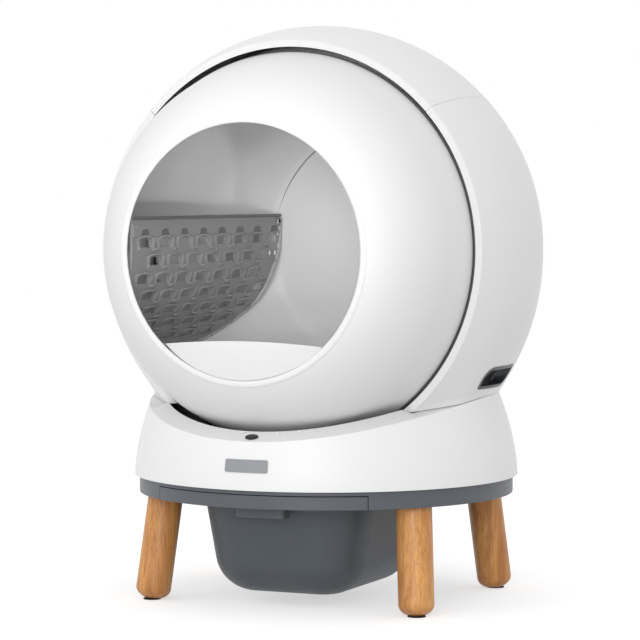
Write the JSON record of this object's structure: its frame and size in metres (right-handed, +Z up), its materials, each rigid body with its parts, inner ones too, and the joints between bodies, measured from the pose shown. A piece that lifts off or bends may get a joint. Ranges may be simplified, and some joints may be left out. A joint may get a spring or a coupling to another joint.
{
  "type": "self cleaning litter box",
  "caption": "Self cleaning litter box: a round drum with a wide mouth turns inside a ball-shaped shell, over a base with a waste drawer, on splayed wooden legs.",
  "frame": {"origin": "on the floor, under the centre of the round base", "axes": "+Z up; the mouth and the drawer face -Y; the drum turns about a line along Y"},
  "size_m": [0.523, 0.476, 0.6782],
  "materials": {
    "white_plastic": "satin",
    "grey_plastic": "satin",
    "drum_grey": "satin",
    "sifter_grey": "gloss",
    "inner_plastic": "matte",
    "gear_plastic": "satin",
    "wood": "satin lacquer",
    "rubber": "matte",
    "steel": "brushed",
    "black_lens": "gloss",
    "icon_white": "satin",
    "plate_grey": "satin",
    "board_green": "satin"
  },
  "bodies": {
    "housing": {"lower_shell": "white_plastic", "base_housing": "white_plastic", "grip_cup_left": "grey_plastic", "grip_cup_right": "grey_plastic", "dc_inlet": "grey_plastic", "base_pan": "grey_plastic", "gearbox": "inner_plastic", "roller_bracket_left": "inner_plastic", "roller_bracket_right": "inner_plastic", "base_deck": "inner_plastic", "waste_chute": "inner_plastic", "drawer_runner_left": "inner_plastic", "drawer_runner_right": "inner_plastic", "leg_front_left": "wood", "leg_front_right": "wood", "leg_rear_left": "wood", "leg_rear_right": "wood", "foot_pad_front_left": "rubber", "foot_pad_front_right": "rubber", "foot_pad_rear_left": "rubber", "foot_pad_rear_right": "rubber", "rear_bearing": "steel", "roller_axle_left": "steel", "roller_axle_right": "steel", "drive_motor": "steel", "leg_bolt_front_left": "steel", "leg_bolt_front_right": "steel", "leg_bolt_rear_left": "steel", "leg_bolt_rear_right": "steel", "sensor_window": "black_lens", "touch_icon_1": "icon_white", "touch_icon_2": "icon_white", "touch_icon_3": "icon_white", "touch_icon_4": "icon_white", "name_plate": "plate_grey", "control_board": "board_green"},
    "drum": {"drum_front": "white_plastic", "drum_bowl": "drum_grey", "ring_gear": "gear_plastic", "sifter": "sifter_grey", "entry_lip": "white_plastic", "port_seal": "rubber", "hub_pin": "steel"},
    "pinion": {"drive_pinion": "gear_plastic", "pinion_shaft": "steel"},
    "roller_left": {"track_roller_left": "rubber"},
    "roller_right": {"track_roller_right": "rubber"},
    "drawer": {"drawer_tray": "grey_plastic", "drawer_front": "grey_plastic", "drawer_pull": "grey_plastic", "waste_bin": "grey_plastic"},
    "top_cover": {"top_cover": "white_plastic"}
  },
  "joints": [
    {"name": "drum_spin", "type": "hinge", "parent": "housing", "child": "drum", "pos_m": [0, 0, 0.415], "axis": [0, 1, 0], "continuous": true},
    {"name": "pinion_spin", "type": "hinge", "parent": "housing", "child": "pinion", "pos_m": [0.135, 0, 0.18117], "axis": [0, 1, 0], "continuous": true},
    {"name": "roller_left_spin", "type": "hinge", "parent": "housing", "child": "roller_left", "pos_m": [-0.11366, 0, 0.20124], "axis": [0, 1, 0], "continuous": true},
    {"name": "roller_right_spin", "type": "hinge", "parent": "housing", "child": "roller_right", "pos_m": [0.11366, 0, 0.20124], "axis": [0, 1, 0], "continuous": true},
    {"name": "drawer_slide", "type": "slide", "parent": "housing", "child": "drawer", "axis": [0, -1, 0], "range_m": [0, 0.28]},
    {"name": "top_cover_lift", "type": "slide", "parent": "housing", "child": "top_cover", "axis": [0, 0, 1], "range_m": [0, 0.1]}
  ],
  "couplings": [
    {"joint": "pinion_spin", "follows": "drum_spin", "ratio": -9.8},
    {"joint": "roller_left_spin", "follows": "drum_spin", "ratio": -19.15},
    {"joint": "roller_right_spin", "follows": "drum_spin", "ratio": -19.15}
  ]
}
